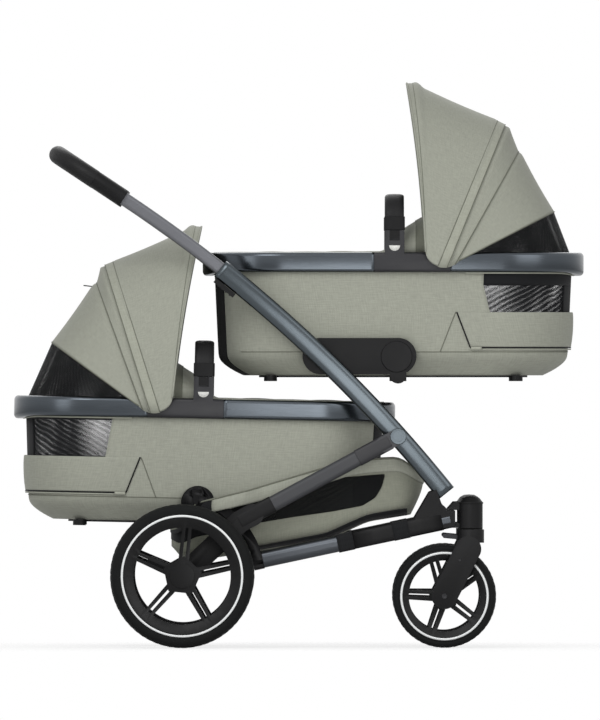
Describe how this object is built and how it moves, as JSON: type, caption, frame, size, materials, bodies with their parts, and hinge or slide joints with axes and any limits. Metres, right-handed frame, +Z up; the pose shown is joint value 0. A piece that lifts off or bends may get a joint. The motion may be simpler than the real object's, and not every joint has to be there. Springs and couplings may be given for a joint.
{
  "type": "twin pram",
  "caption": "Tandem pram: a curved folding chassis with a telescopic handle, swivelling front wheels, a basket, and carrycots with folding hoods in line.",
  "frame": {"origin": "on the ground, below the middle of the pram's length and width", "axes": "+X to the front, where the swivelling wheels are, +Y to the pram's left, +Z up"},
  "size_m": [1.1887, 0.62, 1.1755],
  "materials": {
    "anodised_tube": "satin anodised",
    "satin_tube": "satin anodised",
    "steel": "plain",
    "black_paint": "matt",
    "black_plastic": "fine texture",
    "button_plastic": "fine texture",
    "leather": "fine grain",
    "tyre": "matt foam",
    "wheel_plastic": "satin",
    "sage_fabric": "woven twill",
    "mattress_fabric": "soft knit"
  },
  "bodies": {
    "frame": {"main_tube_left": "anodised_tube", "main_tube_right": "anodised_tube", "front_hub_left": "black_plastic", "front_hub_right": "black_plastic", "front_cross_tube": "black_paint", "lower_bar_left": "anodised_tube", "lower_bar_right": "anodised_tube", "basket": "sage_fabric", "upper_adapter_left": "black_plastic", "upper_adapter_right": "black_plastic", "lower_adapter_left": "black_plastic", "lower_adapter_right": "black_plastic", "leg_pins": "steel"},
    "handle": {"handlebar": "satin_tube", "handle_grip": "leather", "handle_sleeves": "black_plastic"},
    "rear_frame": {"rear_leg_left": "anodised_tube", "rear_leg_right": "anodised_tube", "axle_housing_left": "black_plastic", "axle_housing_right": "black_plastic", "rear_axle": "steel"},
    "brake": {"brake_pedal": "black_plastic"},
    "height_button_left": {"height_button_left": "button_plastic"},
    "fold_slider_left": {"fold_slider_left": "black_plastic"},
    "rear_wheel_left": {"rear_tyre_left": "tyre", "rear_rim_left": "wheel_plastic"},
    "fork_left": {"front_fork_left": "black_plastic"},
    "front_wheel_left": {"front_tyre_left": "tyre", "front_rim_left": "wheel_plastic"},
    "swivel_lock_left": {"swivel_lock_left": "button_plastic"},
    "height_button_right": {"height_button_right": "button_plastic"},
    "fold_slider_right": {"fold_slider_right": "black_plastic"},
    "rear_wheel_right": {"rear_tyre_right": "tyre", "rear_rim_right": "wheel_plastic"},
    "fork_right": {"front_fork_right": "black_plastic"},
    "front_wheel_right": {"front_tyre_right": "tyre", "front_rim_right": "wheel_plastic"},
    "swivel_lock_right": {"swivel_lock_right": "button_plastic"},
    "upper_cot": {"upper_rim_bows": "anodised_tube", "upper_rim_sides": "black_plastic", "upper_tub": "sage_fabric", "upper_base": "black_plastic", "upper_mattress": "mattress_fabric", "upper_apron": "sage_fabric", "upper_hood_rear": "sage_fabric"},
    "upper_hood_mid": {"upper_hood_mid": "sage_fabric"},
    "upper_hood_front": {"upper_hood_front": "sage_fabric"},
    "upper_carry_handle": {"upper_carry_handle": "leather"},
    "upper_catches": {"upper_catches": "black_plastic"},
    "lower_cot": {"lower_rim_bows": "anodised_tube", "lower_rim_sides": "black_plastic", "lower_tub": "sage_fabric", "lower_base": "black_plastic", "lower_mattress": "mattress_fabric", "lower_apron": "sage_fabric", "lower_hood_rear": "sage_fabric"},
    "lower_hood_mid": {"lower_hood_mid": "sage_fabric"},
    "lower_hood_front": {"lower_hood_front": "sage_fabric"},
    "lower_carry_handle": {"lower_carry_handle": "leather"},
    "lower_catches": {"lower_catches": "black_plastic"}
  },
  "joints": [
    {"name": "handle_telescope", "type": "hinge", "parent": "frame", "child": "handle", "pos_m": [-2.0021, 0, -1.53073], "axis": [0, 1, 0], "range_deg": [0, 2.32]},
    {"name": "chassis_fold", "type": "hinge", "parent": "frame", "child": "rear_frame", "pos_m": [0.20632, 0, 0.44018], "axis": [0, -1, 0], "range_deg": [0, 45]},
    {"name": "brake_press", "type": "hinge", "parent": "rear_frame", "child": "brake", "pos_m": [-0.243, 0, 0.15], "axis": [0, -1, 0], "range_deg": [0, 25]},
    {"name": "height_button_press_left", "type": "slide", "parent": "handle", "child": "height_button_left", "axis": [0, 1, 0], "range_m": [0, 0.0025], "stiffness_N_per_m": 800, "springref_m": -0.001},
    {"name": "fold_slide_left", "type": "slide", "parent": "frame", "child": "fold_slider_left", "axis": [-0.7769, 0, 0.6296], "range_m": [0, 0.01], "stiffness_N_per_m": 500, "springref_m": -0.002},
    {"name": "rear_wheel_roll_left", "type": "hinge", "parent": "rear_frame", "child": "rear_wheel_left", "pos_m": [-0.243, 0.286, 0.15], "axis": [0, 1, 0], "continuous": true},
    {"name": "fork_swivel_left", "type": "hinge", "parent": "frame", "child": "fork_left", "pos_m": [0.3565, 0.222, 0.219], "axis": [0, 0, 1], "continuous": true},
    {"name": "front_wheel_roll_left", "type": "hinge", "parent": "fork_left", "child": "front_wheel_left", "pos_m": [0.3025, 0.222, 0.108], "axis": [0, 1, 0], "continuous": true},
    {"name": "swivel_lock_tip_left", "type": "hinge", "parent": "fork_left", "child": "swivel_lock_left", "pos_m": [0.334, 0.222, 0.23008], "axis": [0, -1, 0], "range_deg": [0, 15]},
    {"name": "height_button_press_right", "type": "slide", "parent": "handle", "child": "height_button_right", "axis": [0, -1, 0], "range_m": [0, 0.0025], "stiffness_N_per_m": 800, "springref_m": -0.001},
    {"name": "fold_slide_right", "type": "slide", "parent": "frame", "child": "fold_slider_right", "axis": [-0.7769, 0, 0.6296], "range_m": [0, 0.01], "stiffness_N_per_m": 500, "springref_m": -0.002},
    {"name": "rear_wheel_roll_right", "type": "hinge", "parent": "rear_frame", "child": "rear_wheel_right", "pos_m": [-0.243, -0.286, 0.15], "axis": [0, 1, 0], "continuous": true},
    {"name": "fork_swivel_right", "type": "hinge", "parent": "frame", "child": "fork_right", "pos_m": [0.3565, -0.222, 0.219], "axis": [0, 0, 1], "continuous": true},
    {"name": "front_wheel_roll_right", "type": "hinge", "parent": "fork_right", "child": "front_wheel_right", "pos_m": [0.3025, -0.222, 0.108], "axis": [0, 1, 0], "continuous": true},
    {"name": "swivel_lock_tip_right", "type": "hinge", "parent": "fork_right", "child": "swivel_lock_right", "pos_m": [0.334, -0.222, 0.23008], "axis": [0, -1, 0], "range_deg": [0, 15]},
    {"name": "upper_cot_lift_off", "type": "slide", "parent": "frame", "child": "upper_cot", "axis": [0, 0, 1], "range_m": [0, 0.3]},
    {"name": "upper_hood_mid_fold", "type": "hinge", "parent": "upper_cot", "child": "upper_hood_mid", "pos_m": [0.3035, 0, 0.801], "axis": [0, 1, 0], "range_deg": [0, 26]},
    {"name": "upper_hood_front_fold", "type": "hinge", "parent": "upper_hood_mid", "child": "upper_hood_front", "pos_m": [0.3035, 0, 0.801], "axis": [0, 1, 0], "range_deg": [0, 26]},
    {"name": "upper_carry_handle_pull", "type": "slide", "parent": "upper_cot", "child": "upper_carry_handle", "axis": [0, 0, 1], "range_m": [0, 0.026]},
    {"name": "upper_catch_press", "type": "slide", "parent": "upper_cot", "child": "upper_catches", "axis": [0, 0, -1], "range_m": [0, 0.003], "stiffness_N_per_m": 500, "springref_m": -0.002},
    {"name": "lower_cot_lift_off", "type": "slide", "parent": "frame", "child": "lower_cot", "axis": [-0.9962, 0, 0.0872], "range_m": [0, 0.35]},
    {"name": "lower_hood_mid_fold", "type": "hinge", "parent": "lower_cot", "child": "lower_hood_mid", "pos_m": [-0.3039, 0, 0.49806], "axis": [0, -1, 0], "range_deg": [0, 26]},
    {"name": "lower_hood_front_fold", "type": "hinge", "parent": "lower_hood_mid", "child": "lower_hood_front", "pos_m": [-0.3039, 0, 0.49806], "axis": [0, -1, 0], "range_deg": [0, 26]},
    {"name": "lower_carry_handle_pull", "type": "slide", "parent": "lower_cot", "child": "lower_carry_handle", "axis": [0.0192, 0, 0.9998], "range_m": [0, 0.026]},
    {"name": "lower_catch_press", "type": "slide", "parent": "lower_cot", "child": "lower_catches", "axis": [-0.0192, 0, -0.9998], "range_m": [0, 0.003], "stiffness_N_per_m": 500, "springref_m": -0.002}
  ],
  "couplings": [
    {"joint": "upper_hood_front_fold", "follows": "upper_hood_mid_fold", "ratio": 1},
    {"joint": "lower_hood_front_fold", "follows": "lower_hood_mid_fold", "ratio": 1}
  ]
}
